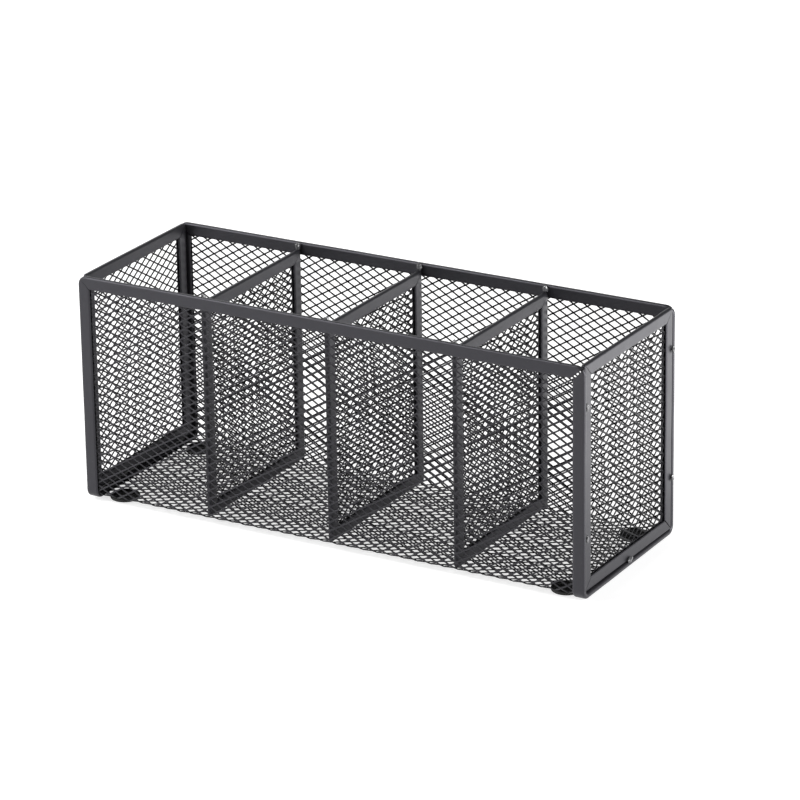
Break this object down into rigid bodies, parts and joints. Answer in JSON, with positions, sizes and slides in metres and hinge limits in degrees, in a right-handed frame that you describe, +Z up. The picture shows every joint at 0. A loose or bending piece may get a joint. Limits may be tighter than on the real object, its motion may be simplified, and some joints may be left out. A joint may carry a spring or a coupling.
{
  "type": "desk organizer",
  "caption": "Long rectangular open-top desk organizer of black expanded-steel mesh, bound in folded steel channel and split by mesh dividers into upright compartments.",
  "frame": {"origin": "middle of the footprint, on the plane of the pads' undersides", "axes": "+X along the row of compartments to the right, +Y to the back, +Z up"},
  "size_m": [0.24, 0.082, 0.102],
  "materials": {
    "powder_coat": "satin black powder coat",
    "mesh_coat": "satin black powder coat",
    "weld_bead": "satin black powder coat over weld",
    "rubber_pad": "matt black"
  },
  "bodies": {
    "root": {"wrap_mesh": "mesh_coat", "front_rim": "powder_coat", "back_rim": "powder_coat", "left_binding": "powder_coat", "right_binding": "powder_coat", "left_end_mesh": "mesh_coat", "left_end_front_stile": "powder_coat", "left_end_back_stile": "powder_coat", "left_end_bottom_rail": "powder_coat", "left_end_top_rail": "powder_coat", "right_end_mesh": "mesh_coat", "right_end_front_stile": "powder_coat", "right_end_back_stile": "powder_coat", "right_end_bottom_rail": "powder_coat", "right_end_top_rail": "powder_coat", "divider_1_mesh": "mesh_coat", "divider_1_front_stile": "powder_coat", "divider_1_back_stile": "powder_coat", "divider_1_bottom_rail": "powder_coat", "divider_1_top_rail": "powder_coat", "divider_2_mesh": "mesh_coat", "divider_2_front_stile": "powder_coat", "divider_2_back_stile": "powder_coat", "divider_2_bottom_rail": "powder_coat", "divider_2_top_rail": "powder_coat", "divider_3_mesh": "mesh_coat", "divider_3_front_stile": "powder_coat", "divider_3_back_stile": "powder_coat", "divider_3_bottom_rail": "powder_coat", "divider_3_top_rail": "powder_coat", "weld_divider_1_front": "weld_bead", "weld_divider_1_back": "weld_bead", "weld_divider_2_front": "weld_bead", "weld_divider_2_back": "weld_bead", "weld_divider_3_front": "weld_bead", "weld_divider_3_back": "weld_bead", "weld_left_end_front_upper": "weld_bead", "weld_left_end_front_lower": "weld_bead", "weld_left_end_back_upper": "weld_bead", "weld_left_end_back_lower": "weld_bead", "weld_left_end_bottom": "weld_bead", "weld_right_end_front_upper": "weld_bead", "weld_right_end_front_lower": "weld_bead", "weld_right_end_back_upper": "weld_bead", "weld_right_end_back_lower": "weld_bead", "weld_right_end_bottom": "weld_bead", "pad_front_left": "rubber_pad", "pad_front_right": "rubber_pad", "pad_back_left": "rubber_pad", "pad_back_right": "rubber_pad"}
  },
  "joints": []
}
